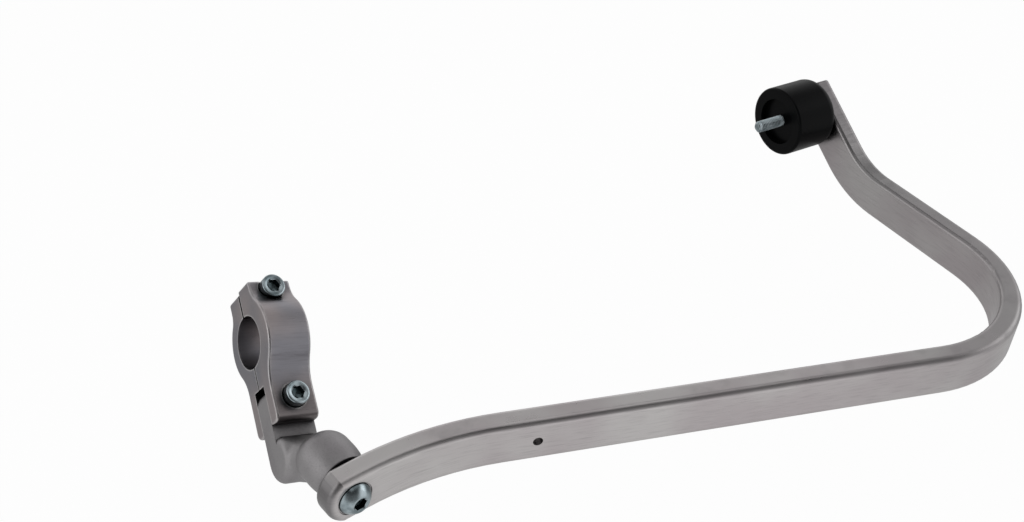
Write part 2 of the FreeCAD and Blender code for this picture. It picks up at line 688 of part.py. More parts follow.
drum_round = dressed("Fillet", "DrumRound", drum, drum_rims)
spacer = cut("SpacerCut", drum_round, [
    cylinder("SpacerRecess", "spacer_recess_diameter / 2", "spacer_recess_depth + 1",
             ("0", "0", "spacer_length - spacer_recess_depth")),
    cylinder("SpacerHole", "end_screw_diameter / 2 + hole_clearance", "spacer_length + 2", ("0", "0", "-1")),
])
keep(spacer, "bar_end_spacer", spacer_frame)


# Every object is checked before any shape is written

doc.recompute()
for item in doc.Objects:
    if "Invalid" in item.State or "Error" in item.State:
        raise ValueError("%s failed: %s" % (item.Name, item.State))
for item in sub_parts:
    if item.Shape.isNull() or not item.Shape.isValid():
        raise ValueError(item.Label + " has no valid shape")
    if len(item.Shape.Solids) != 1:
        raise ValueError("%s has %d solids" % (item.Label, len(item.Shape.Solids)))

os.makedirs("parts", exist_ok=True)
for item in sub_parts:
    item.Shape.exportStep("parts/%s.step" % item.Label)
    box = item.Shape.BoundBox
    print("%-20s volume %9.1f mm3, box %7.1f %7.1f %7.1f to %7.1f %7.1f %7.1f" % (
        item.Label, item.Shape.Volume, box.XMin, box.YMin, box.ZMin, box.XMax, box.YMax, box.ZMax))
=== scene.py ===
"""Studio picture of a left-hand guard for a motorcycle handlebar.

The bent bar, the clamp, the cast elbow and the spacer keep the meshes of the fixed frame and get
their finishes here. The four screws are made anew, with real sockets, knurls and threads. Lengths
are millimetres until a finished mesh is written, which is in metres.
"""

from __future__ import annotations

import json
import logging
import math
from dataclasses import dataclass
from enum import Enum

import bpy
import numpy as np
from mathutils import Matrix, Vector

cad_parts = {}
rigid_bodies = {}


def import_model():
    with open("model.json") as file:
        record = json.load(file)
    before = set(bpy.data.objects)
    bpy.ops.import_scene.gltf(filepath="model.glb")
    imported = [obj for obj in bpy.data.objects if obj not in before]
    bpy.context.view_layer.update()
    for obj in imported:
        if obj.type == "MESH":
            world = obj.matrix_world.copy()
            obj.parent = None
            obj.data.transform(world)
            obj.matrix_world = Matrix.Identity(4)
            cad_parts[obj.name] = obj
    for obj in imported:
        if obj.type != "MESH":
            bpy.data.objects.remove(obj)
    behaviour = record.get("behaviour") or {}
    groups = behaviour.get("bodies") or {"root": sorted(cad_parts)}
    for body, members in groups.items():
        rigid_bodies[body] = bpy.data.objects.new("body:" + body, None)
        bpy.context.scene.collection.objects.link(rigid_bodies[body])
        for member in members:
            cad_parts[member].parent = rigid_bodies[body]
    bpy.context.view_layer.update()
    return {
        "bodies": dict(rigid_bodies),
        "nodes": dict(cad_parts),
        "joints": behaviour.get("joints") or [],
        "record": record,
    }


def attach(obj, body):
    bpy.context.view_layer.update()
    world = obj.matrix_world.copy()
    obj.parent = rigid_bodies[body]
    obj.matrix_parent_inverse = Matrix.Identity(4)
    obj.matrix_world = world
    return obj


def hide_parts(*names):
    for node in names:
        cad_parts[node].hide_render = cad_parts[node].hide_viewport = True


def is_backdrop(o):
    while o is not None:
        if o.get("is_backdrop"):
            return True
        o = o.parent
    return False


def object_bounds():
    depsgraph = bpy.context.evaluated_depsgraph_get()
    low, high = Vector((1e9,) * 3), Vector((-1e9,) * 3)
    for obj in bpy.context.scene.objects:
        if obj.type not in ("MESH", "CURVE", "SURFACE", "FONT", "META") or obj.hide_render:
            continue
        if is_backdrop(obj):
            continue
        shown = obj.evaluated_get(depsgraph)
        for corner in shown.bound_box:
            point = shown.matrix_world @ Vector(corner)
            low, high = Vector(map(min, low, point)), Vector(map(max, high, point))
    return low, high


# Short names of types
Tree = bpy.types.NodeTree
Socket = bpy.types.NodeSocket
Triple = tuple[float, float, float]

LOG = logging.getLogger("hand_guard")
MILLIMETRE = 0.001
BODY = "root"

# Colour sockets of a Mix node, by number
MIX_FIRST = 6
MIX_SECOND = 7
MIX_RESULT = 2


class Slot(Enum):
    """Finish slots of the part, by the names that its record gives them."""

    BAR = "bar_aluminium"
    CLAMP = "clamp_aluminium"
    CAST = "cast_aluminium"
    ZINC = "zinc_steel"
    PLASTIC = "black_plastic"


class HeadStyle(Enum):
    """Shapes of a screw's head."""

    CYLINDER = "cylinder"
    BUTTON = "button"


# Places of the screws, worked out from the part's driving sizes

@dataclass(frozen=True)
class ClampPose:
    """How the clamp sits on the handlebar, and where its screws are.

    Args:
        sweep: Degrees the handlebar turns towards the rider.
        droop: Degrees the handlebar falls towards its end.
        lean: Degrees the clamp leans back about the handlebar.
        ear_depth: From the split to the front of the cap's ears.
        seat_depth: Depth of the screw heads' seats.
        upper_height: Upper screw above the bore's centre.
        lower_depth: Lower screw below the bore's centre.
    """

    sweep: float = 16.5
    droop: float = 17.9
    lean: float = 58.1
    ear_depth: float = 10.8
    seat_depth: float = 1.6
    upper_height: float = 19.0
    lower_depth: float = 27.9

    def angles(self) -> Triple:
        """Degrees that the clamp's own frame is turned about X, then Y, then Z."""
        return -self.lean, self.droop, self.sweep

    def matrix(self) -> Matrix:
        """Turn of the clamp's own frame, with X along the handlebar and Z up the split."""
        return (Matrix.Rotation(math.radians(self.sweep), 4, "Z")
                @ Matrix.Rotation(math.radians(self.droop), 4, "Y")
                @ Matrix.Rotation(math.radians(-self.lean), 4, "X"))

    def seat(self, height: float) -> Matrix:
        """Frame of a screw at this height of the split.

        Args:
            height: Screw's axis above the bore's centre.

        Returns:
            The frame, with its origin under the head and Z out of the cap.
        """
        place = Matrix.Translation((0.0, self.seat_depth - self.ear_depth, height))
        return self.matrix() @ place @ Matrix.Rotation(math.radians(90.0), 4, "X")


@dataclass
class BarLine:
    """Centre line of the bar, followed run by run from the pivot to the end screw.

    Args:
        pivot: Where the pivot screw crosses the line.
        inner_run: Straight from the pivot to the first bend.
        inner_bend: Radius and degrees of the first bend.
        front_run: Straight in front of the fingers.
        outer_bend: Radius and degrees of the main bend.
        return_run: Straight back towards the handlebar's end.
        kick: Radius and degrees of the edgewise bend upwards.
        tip_run: Straight from there to the end screw.
        thickness: Thickness of the bar.
        pivot_seat: Depth of the pivot head's seat in the bar's face.
    """

    pivot: Triple = (21.1, -75.9, -13.6)
    inner_run: float = 4.2
    inner_bend: tuple[float, float] = (139.8, 24.9)
    front_run: float = 198.7
    outer_bend: tuple[float, float] = (58.0, 106.06)
    return_run: float = 58.5
    kick: tuple[float, float] = (49.0, 35.31)
    tip_run: float = 29.2
    thickness: float = 10.0
    pivot_seat: float = 0.4

    def __post_init__(self) -> None:
        """Start at the pivot, heading along the bar's inner end."""
        self.place = Vector(self.pivot)
        turn = Matrix.Rotation(math.radians(self.inner_bend[1]), 3, "Z")
        self.along = turn @ Vector((1.0, 0.0, 0.0))
        self.outwards = turn @ Vector((0.0, -1.0, 0.0))
        self.upwards = Vector((0.0, 0.0, 1.0))

    def straight(self, length: float) -> None:
        """Go straight on by this length."""
        self.place = self.place + self.along * length

    def bend(self, radius: float, degrees: float, axis: Vector) -> None:
        """Follow an arc about an axis.

        Args:
            radius: Radius of the centre line.
            degrees: Angle of the arc, by the right-hand rule about the axis.
            axis: Direction that the arc turns about.
        """
        spoke = axis.cross(self.along) * math.copysign(radius, degrees)
        turn = Matrix.Rotation(math.radians(degrees), 3, axis)
        self.place = self.place + spoke - turn @ spoke
        self.along = turn @ self.along
        self.outwards = turn @ self.outwards
        self.upwards = turn @ self.upwards

    def face_frame(self, across: Vector, sunk: float = 0.0) -> Matrix:
        """Frame on the bar's outer face, with Z out of it.

        Args:
            across: Direction of its X axis.
            sunk: How far it lies below the face.

        Returns:
            The frame, in millimetres.
        """
        base = self.place + self.outwards * (self.thickness / 2.0 - sunk)
        turn = Matrix((across, self.outwards.cross(across), self.outwards)).transposed()
        return Matrix.Translation(base) @ turn.to_4x4()

    def screw_frames(self) -> tuple[Matrix, Matrix]:
        """Frames of the pivot screw and of the bar-end screw."""
        first = self.face_frame(self.along, self.pivot_seat)
        self.straight(self.inner_run)
        upright = Vector((0.0, 0.0, 1.0))
        self.bend(self.inner_bend[0], -self.inner_bend[1], upright)
        self.straight(self.front_run)
        self.bend(self.outer_bend[0], self.outer_bend[1], upright)
        self.straight(self.return_run)
        self.bend(self.kick[0], self.kick[1], self.outwards.copy())
        self.straight(self.tip_run)
        return first, self.face_frame(self.upwards)


# Meshes

def revolved_piece(name: str, radii: np.ndarray, heights: np.ndarray, frame: Matrix,
                   crease: float = 35.0) -> bpy.types.Object:
    """Closed surface of rings round an axis.

    Point (i, j) stands at height i, at radius (i, j), on the spoke at angle 2 pi j / columns. The
    first and the last ring shrink to one point each.

    Args:
        name: Piece's name.
        radii: Radius of each ring at each spoke, rings by columns.
        heights: Height of each ring at each spoke, rings by columns.
        frame: Where the axis stands, in millimetres.
        crease: Degrees between two faces from which their edge is sharp.

    Returns:
        The piece, with its place in its mesh.
    """
    rings, columns = radii.shape
    angles = 2.0 * np.pi * np.arange(columns) / columns
    points = np.stack([radii * np.cos(angles), radii * np.sin(angles), heights], axis=-1)
    inner = points[1:-1].reshape(-1, 3)
    local = np.concatenate([points[0, :1], inner, points[-1, :1]])
    turn = np.array(frame.to_3x3())
    placed = (local @ turn.T + np.array(frame.translation)) * MILLIMETRE

    column = np.arange(columns)
    following = (column + 1) % columns
    starts = 1 + columns * np.arange(rings - 3)[:, None]
    quads = np.stack([starts + column, starts + following, starts + columns + following,
                      starts + columns + column], axis=-1).reshape(-1, 4)
    last = len(local) - 1
    last_ring = 1 + columns * (rings - 3)
    first_fan = np.stack([np.zeros(columns, int), 1 + following, 1 + column], axis=-1)
    last_fan = np.stack([np.full(columns, last), last_ring + column, last_ring + following], axis=-1)
    faces = quads.tolist() + first_fan.tolist() + last_fan.tolist()

    mesh = bpy.data.meshes.new(name)
    mesh.from_pydata(placed.tolist(), [], faces)
    mesh.polygons.foreach_set("use_smooth", np.ones(len(mesh.polygons), bool))
    mesh.set_sharp_from_angle(angle=math.radians(crease))
    mesh.update()
    piece = bpy.data.objects.new(name, mesh)
    bpy.context.scene.collection.objects.link(piece)
    return piece


@dataclass
class DrivenScrew:
    """Hexagon socket screw, worked out as rings from the socket's floor to the screw's tip.

    Args:
        name: Piece's name.
        node: Solid of the frame that it stands for.
        style: Shape of the head.
        head: Diameter and height of the head.
        socket: Flats and depth of the hexagon.
        shank: Diameter and length of the shank.
        thread: Outside diameter, pitch and length of the thread at the free end.
        flat: Diameter of the flat on top of a button head.
        knurls: Number of ridges round a cylinder head.
        columns: Number of spokes of every ring.
        hold: Distance between two rings that hold an edge.
        lip: Small bevel at the socket's mouth and at a button head's edges.
        cone_share: Depth of the socket's conical floor, over its flats.
        floor_share: Width of the floor over the width of the hexagon.
        floor_rise: Height of the corner between floor and wall.
        socket_bevel: Width of the bevel from the hexagon's corners to the round mouth.
        bevel_slope: Depth of that bevel over its width.
        head_edge: Round at the rim of a cylinder head.
        edge_rings: Number of rings in that round.
        knurl_depth: Depth of the grooves round a cylinder head.
        knurl_gap: From that round to the grooves, and half of what lies below them.
        collar: Height of the plain ring under the grooves.
        head_foot: Bevel at a cylinder head's lower edge.
        button_rim: Straight rim under the dome of a button head.
        dome_rings: Number of rings in the dome.
        neck_round: Hollow round between head and shank.
        pitch_rings: Number of rings in one pitch of the thread.
        flank: Steepness of the thread's flanks.
        crest: Share of the wave that is worn off at the crests.
        thread_depth: Depth of the thread over its pitch.
        tip_chamfer: Length of the chamfer at the free end.
        tip_inset: From the thread's root to the rim of the free end.
    """

    name: str
    node: str
    style: HeadStyle
    head: tuple[float, float]
    socket: tuple[float, float]
    shank: tuple[float, float]
    thread: Triple
    flat: float = 0.0
    knurls: int = 0
    columns: int = 192
    hold: float = 0.05
    lip: float = 0.12
    cone_share: float = 0.12
    floor_share: float = 0.985
    floor_rise: float = 0.08
    socket_bevel: float = 0.35
    bevel_slope: float = 1.3
    head_edge: float = 0.7
    edge_rings: int = 9
    knurl_depth: float = 0.13
    knurl_gap: float = 0.35
    collar: float = 0.4
    head_foot: float = 0.15
    button_rim: float = 0.5
    dome_rings: int = 22
    neck_round: float = 0.25
    pitch_rings: int = 14
    flank: float = 2.6
    crest: float = 0.15
    thread_depth: float = 0.6
    tip_chamfer: float = 0.8
    tip_inset: float = 0.45

    def angles(self) -> np.ndarray:
        """Angle of each spoke."""
        return 2.0 * np.pi * np.arange(self.columns) / self.columns

    def hexagon(self, flats: float) -> np.ndarray:
        """Radius of a hexagon at each spoke: half its flats over the cosine from the nearest flat."""
        third = np.pi / 3.0
        off_flat = np.mod(self.angles(), third) - third / 2.0
        return flats / 2.0 / np.cos(off_flat)

    def ring(self, radius: float, height: float) -> tuple[np.ndarray, np.ndarray]:
        """Round ring of this radius at this height."""
        return np.full(self.columns, radius), np.full(self.columns, height)

    def socket_rings(self) -> list[tuple[np.ndarray, np.ndarray]]:
        """Conical floor, hexagonal wall and bevelled mouth of the socket."""
        flats, depth = self.socket
        top = self.head[1]
        wall = self.hexagon(flats)
        mouth = flats / math.sqrt(3.0) + self.socket_bevel
        cone = self.cone_share * flats
        level = np.full(self.columns, top)
        return [
            self.ring(0.0, top - depth - cone),
            (wall / 2.0, level - depth - cone / 2.0),
            (wall * self.floor_share, level - depth),
            (wall, level - depth + self.floor_rise),
            (wall, level - depth / 2.0),
            (wall, level - self.socket_bevel * self.bevel_slope),
            (np.maximum(wall, mouth - self.lip), level - self.lip / 2.0),
            self.ring(mouth, top),
        ]

    def cylinder_rings(self) -> list[tuple[np.ndarray, np.ndarray]]:
        """Rounded rim and knurled side: radius less half the depth times one less a cosine."""
        radius = self.head[0] / 2.0
        top = self.head[1]
        rings = [self.ring(radius - self.head_edge - self.hold, top)]
        for turn in np.linspace(0.0, 90.0, self.edge_rings):
            angle = math.radians(turn)
            rings.append(self.ring(radius - self.head_edge * (1.0 - math.sin(angle)),
                                   top - self.head_edge * (1.0 - math.cos(angle))))
        ridge = radius - self.knurl_depth * (0.5 - 0.5 * np.cos(self.knurls * self.angles()))
        high = top - self.head_edge - self.knurl_gap
        low = 2.0 * self.knurl_gap
        for height in (high, (high + low) / 2.0, low):
            rings.append((ridge, np.full(self.columns, height)))
        rings += [self.ring(radius, self.collar), self.ring(radius, self.head_foot),
                  self.ring(radius - self.head_foot, 0.0)]
        return rings

    def button_rings(self) -> list[tuple[np.ndarray, np.ndarray]]:
        """Flat, spherical dome and straight rim of a button head."""
        radius = self.head[0] / 2.0
        height = self.head[1]
        flat = self.flat / 2.0
        centre = ((flat ** 2 + height ** 2 - radius ** 2 - self.button_rim ** 2)
                  / (2.0 * (height - self.button_rim)))
        ball = math.hypot(radius, self.button_rim - centre)
        first = math.asin(flat / ball)
        last = math.asin(radius / ball)
        rings = [self.ring(flat - self.lip, height)]
        for angle in np.linspace(first, last, self.dome_rings):
            rings.append(self.ring(ball * math.sin(angle), centre + ball * math.cos(angle)))
        rings += [self.ring(radius, self.lip), self.ring(radius - self.lip, 0.0)]
        return rings

    def shank_rings(self) -> list[tuple[np.ndarray, np.ndarray]]:
        """Plain shank, then a thread whose radius is a worn triangle wave of height and angle.

        The wave's phase is height over pitch less the share of a turn, so that it is a helix. It
        fades in over one pitch, and its crests stay on the thread's outside diameter.
        """
        diameter, length = self.shank
        outside, pitch, threaded = self.thread
        start = -(length - threaded)
        end = -(length - self.tip_chamfer)
        plain = diameter / 2.0
        crests = outside / 2.0
        depth = self.thread_depth * pitch
        rings = [self.ring(plain + self.neck_round, 0.0), self.ring(plain, -self.neck_round),
                 self.ring(plain, start), self.ring(crests, start - self.hold)]
        count = int((start - end) / pitch * self.pitch_rings)
        share = self.angles() / (2.0 * np.pi)
        for height in np.linspace(start - 2.0 * self.hold, end, count):
            phase = np.mod(height / pitch - share, 1.0)
            wave = np.clip(self.flank * np.abs(phase - 0.5) - self.crest, 0.0, 1.0)
            fade = min(1.0, (start - height) / pitch)
            rings.append((crests - depth * fade * wave, np.full(self.columns, height)))
        root = crests - depth
        rings += [self.ring(root - self.hold, end - self.neck_round),
                  self.ring(root - self.tip_inset, -length), self.ring(0.0, -length)]
        return rings

    def build(self, frame: Matrix, finish: bpy.types.Material) -> bpy.types.Object:
        """Make the screw, dress it and let it stand for its solid.

        Args:
            frame: Frame under the head, with Z out of it.
            finish: Material of the screw.

        Returns:
            The finished piece.
        """
        head = self.cylinder_rings() if self.style is HeadStyle.CYLINDER else self.button_rings()
        rings = self.socket_rings() + head + self.shank_rings()
        radii = np.stack([ring[0] for ring in rings])
        heights = np.stack([ring[1] for ring in rings])
        piece = revolved_piece(self.name, radii, heights, frame)
        piece.data.materials.append(finish)
        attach(piece, BODY)
        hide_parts(self.node)
        LOG.info("%s has %d faces", self.name, len(piece.data.polygons))
        return piece


# Shader groups that several finishes share

class GroupMaker:
    """A shader node group with named inputs and outputs, and short ways to fill it."""

    def __init__(self, name: str) -> None:
        """Start an empty group of this name."""
        self.tree = bpy.data.node_groups.new(name, "ShaderNodeTree")
        self.entry = self.tree.nodes.new("NodeGroupInput")
        self.leave = self.tree.nodes.new("NodeGroupOutput")

    def take(self, name: str, kind: str, default: float | tuple[float, ...] | None = None) -> None:
        """Add an input socket.

        Args:
            name: Socket's name.
            kind: Float, Color or Vector.
            default: Value that it has when nothing is linked.
        """
        socket = self.tree.interface.new_socket(name, in_out="INPUT", socket_type="NodeSocket" + kind)
        if default is not None:
            socket.default_value = default

    def give(self, name: str, kind: str) -> None:
        """Add an output socket."""
        self.tree.interface.new_socket(name, in_out="OUTPUT", socket_type="NodeSocket" + kind)

    def node(self, kind: str, **settings: object) -> bpy.types.Node:
        """New node of this kind with these settings."""
        return add_node(self.tree, kind, **settings)

    def link(self, source: Socket, goal: Socket) -> None:
        """Join two sockets."""
        self.tree.links.new(source, goal)

    def math(self, operation: str, first: object, second: object = None,
             clamp: bool = False) -> Socket:
        """Result of a Math node on sockets or numbers."""
        return math_node(self.tree, operation, first, second, clamp)


def add_node(tree: Tree, kind: str, **settings: object) -> bpy.types.Node:
    """New node in a tree, with its plain settings given by name."""
    node = tree.nodes.new("ShaderNode" + kind)
    for key, value in settings.items():
        setattr(node, key, value)
    return node


def math_node(tree: Tree, operation: str, first: object, second: object = None,
              clamp: bool = False) -> Socket:
    """Result of a Math node.

    Args:
        tree: Tree that it stands in.
        operation: Math operation.
        first: Socket or number.
        second: Socket or number, if the operation has a second value.
        clamp: Whether the result is held between 0 and 1.

    Returns:
        The node's output socket.
    """
    node = add_node(tree, "Math", operation=operation, use_clamp=clamp)
    for index, value in enumerate((first, second)):
        if isinstance(value, Socket):
            tree.links.new(value, node.inputs[index])
        elif value is not None:
            node.inputs[index].default_value = value
    return node.outputs[0]


def scaled_sum(tree: Tree, value: Socket, factor: float, term: float | Socket,
               clamp: bool = False) -> Socket:
    """Result of a Math node that multiplies a value and adds a term.

    Args:
        tree: Tree that it stands in.
        value: Socket whose value is multiplied.
        factor: Number that it is multiplied by.
        term: Socket or number that is added.
        clamp: Whether the result is held between 0 and 1.

    Returns:
        The node's output socket.
    """
    result = math_node(tree, "MULTIPLY_ADD", value, factor, clamp)
    goal = result.node.inputs[2]
    if isinstance(term, Socket):
        tree.links.new(term, goal)
    else:
        goal.default_value = term
    return result


def map_range(tree: Tree, value: Socket, source: tuple[float, float],
              goal: tuple[float, float]) -> Socket:
    """Result of a smooth Map Range node.

    Args:
        tree: Tree that it stands in.
        value: Socket whose value is mapped.
        source: Values between which the result changes.
        goal: Results at the first of them and before, and at the second and after.

    Returns:
        The node's output socket.
    """
    node = add_node(tree, "MapRange", interpolation_type="SMOOTHSTEP")
    for name, number in zip(("From Min", "From Max", "To Min", "To Max"), (*source, *goal)):
        node.inputs[name].default_value = number
    tree.links.new(value, node.inputs["Value"])
    return node.outputs["Result"]


def dot_product(tree: Tree, first: Socket, second: Vector | Socket) -> Socket:
    """Dot product of two vectors.

    Args:
        tree: Tree that it stands in.
        first: Socket of the first vector.
        second: The second vector, or its socket.

    Returns:
        The product's socket.
    """
    node = add_node(tree, "VectorMath", operation="DOT_PRODUCT")
    tree.links.new(first, node.inputs[0])
    if isinstance(second, Socket):
        tree.links.new(second, node.inputs[1])
    else:
        node.inputs[1].default_value = second
    return node.outputs["Value"]


def edge_wear_group(gain: float = 12.0, unevenness: float = 1.2, least: float = 0.15) -> Tree:
    """Mask of edges, for rubbed wear and painted edge highlights: where a bevelled normal leaves the
    true one, broken up by noise.

    Args:
        gain: How fast the mask grows with the angle between the two normals.
        unevenness: How much of the mask the noise adds.
        least: Share of the mask that the noise leaves everywhere.

    Returns:
        The group.
    """
    group = GroupMaker("edge_wear")
    group.take("Width", "Float", 0.0006)
    group.take("Patchiness", "Float", 300.0)
    group.give("Mask", "Float")
    bevel = group.node("Bevel", samples=4)
    group.link(group.entry.outputs["Width"], bevel.inputs["Radius"])
    geometry = group.node("NewGeometry")
    likeness = dot_product(group.tree, bevel.outputs["Normal"], geometry.outputs["Normal"])
    off_true = group.math("SUBTRACT", 1.0, likeness)
    sharp = group.math("MULTIPLY", off_true, gain, clamp=True)
    place = group.node("TexCoord")
    noise = group.node("TexNoise")
    group.link(place.outputs["Object"], noise.inputs["Vector"])
    group.link(group.entry.outputs["Patchiness"], noise.inputs["Scale"])
    uneven = scaled_sum(group.tree, noise.outputs["Fac"], unevenness, least)
    mask = group.math("MULTIPLY", sharp, uneven, clamp=True)
    group.link(mask, group.leave.inputs["Mask"])
    return group.tree


def grain_group(finer_by: float = 4.0, fine_share: float = 0.4) -> Tree:
    """Fine height and a matching tone, from two noises.

    The noises run along the axes of a frame with the turn that is given, stretched there.

    Args:
        finer_by: How many times finer the second noise is than the first.
        fine_share: Share of the second noise in the height.

    Returns:
        The group.
    """
    group = GroupMaker("surface_grain")
    group.take("Scale", "Float", 900.0)
    group.take("Stretch", "Vector", (1.0, 1.0, 1.0))
    group.take("Turn", "Vector", (0.0, 0.0, 0.0))
    group.give("Height", "Float")
    group.give("Tone", "Float")
    place = group.node("TexCoord")
    turned = group.node("VectorRotate", rotation_type="EULER_XYZ", invert=True)
    group.link(place.outputs["Object"], turned.inputs["Vector"])
    group.link(group.entry.outputs["Turn"], turned.inputs["Rotation"])
    stretched = group.node("VectorMath", operation="MULTIPLY")
    group.link(turned.outputs["Vector"], stretched.inputs[0])
    group.link(group.entry.outputs["Stretch"], stretched.inputs[1])
    coarse = group.node("TexNoise")
    fine = group.node("TexNoise")
    finer = group.math("MULTIPLY", group.entry.outputs["Scale"], finer_by)
    for noise, scale in ((coarse, group.entry.outputs["Scale"]), (fine, finer)):
        noise.inputs["Detail"].default_value = 3.0
        noise.inputs["Roughness"].default_value = 0.55
        group.link(stretched.outputs["Vector"], noise.inputs["Vector"])
        group.link(scale, noise.inputs["Scale"])
    height = scaled_sum(group.tree, fine.outputs["Fac"], fine_share, coarse.outputs["Fac"])
    tone = group.math("SUBTRACT", coarse.outputs["Fac"], 0.5)
    group.link(height, group.leave.inputs["Height"])
    group.link(tone, group.leave.inputs["Tone"])
    return group.tree


def shelter_group() -> Tree:
    """Mask of painted shade from ambient occlusion: 0 in the open, and 1 where nearby surfaces take 65
    % of the sky.
    """
    group = GroupMaker("shelter")
    group.take("Reach", "Float", 0.01)
    group.give("Mask", "Float")
    near = group.node("AmbientOcclusion", samples=8)
    group.link(group.entry.outputs["Reach"], near.inputs["Distance"])
    mask = map_range(group.tree, near.outputs["AO"], (0.98, 0.35), (0.0, 1.0))
    group.link(mask, group.leave.inputs["Mask"])
    return group.tree


def toned_end_group(spread: float = 1.4) -> Tree:
    """Mask of painted shade at one end of a piece: it grows over a reach from a place, on faces that
    look one way.

    Args:
        spread: How far the mask spreads onto faces that look another way.

    Returns:
        The group.
    """
    group = GroupMaker("toned_end")
    group.take("Place", "Vector", (0.0, 0.0, 0.0))
    group.take("Along", "Vector", (1.0, 0.0, 0.0))
    group.take("Facing", "Vector", (1.0, 0.0, 0.0))
    group.take("Reach", "Float", 0.01)
    group.give("Mask", "Float")
    place = group.node("TexCoord")
    offset = group.node("VectorMath", operation="SUBTRACT")
    group.link(place.outputs["Object"], offset.inputs[0])
    group.link(group.entry.outputs["Place"], offset.inputs[1])
    ahead = dot_product(group.tree, offset.outputs["Vector"], group.entry.outputs["Along"])
    grown = map_range(group.tree, ahead, (0.0, 1.0), (0.0, 1.0))
    group.link(group.entry.outputs["Reach"], grown.node.inputs["From Max"])
    geometry = group.node("NewGeometry")
    facing = dot_product(group.tree, geometry.outputs["Normal"], group.entry.outputs["Facing"])
    share = group.math("MULTIPLY", facing, spread, clamp=True)
    mask = group.math("MULTIPLY", grown, share, clamp=True)
    group.link(mask, group.leave.inputs["Mask"])
    return group.tree


def tone_drift_group() -> Tree:
    """Slow change of tone over a piece, from 0 to 1: soft clouds a few centimetres across."""
    group = GroupMaker("tone_drift")
    group.take("Scale", "Float", 22.0)
    group.give("Cloud", "Float")
    place = group.node("TexCoord")
    noise = group.node("TexNoise")
    noise.inputs["Detail"].default_value = 2.0
    group.link(place.outputs["Object"], noise.inputs["Vector"])
    group.link(group.entry.outputs["Scale"], noise.inputs["Scale"])
    cloud = map_range(group.tree, noise.outputs["Fac"], (0.35, 0.65), (0.0, 1.0))
    group.link(cloud, group.leave.inputs["Cloud"])
    return group.tree


@dataclass(frozen=True)
class SharedGroups:
    """The shader groups, built once and placed in each finish."""

    wear: Tree
    grain: Tree
    drift: Tree
    shelter: Tree
    toned_end: Tree

    @classmethod
    def build(cls) -> SharedGroups:
        """Make all the groups."""
        return cls(wear=edge_wear_group(), grain=grain_group(), drift=tone_drift_group(),
                   shelter=shelter_group(), toned_end=toned_end_group())


# Finishes

@dataclass(frozen=True)
class PaintedShadeEnd:
    """End of a piece with painted shade, darker on faces that look one way.

    Args:
        place: Where the painted shade begins, in metres.
        along: Direction that it grows along.
        facing: Direction that the shaded faces look.
        reach: Distance over which it grows, in metres.
        amount: Share of the dark colour that is painted as shade at the end.
    """

    place: Triple
    along: Triple
    facing: Triple
    reach: float
    amount: float


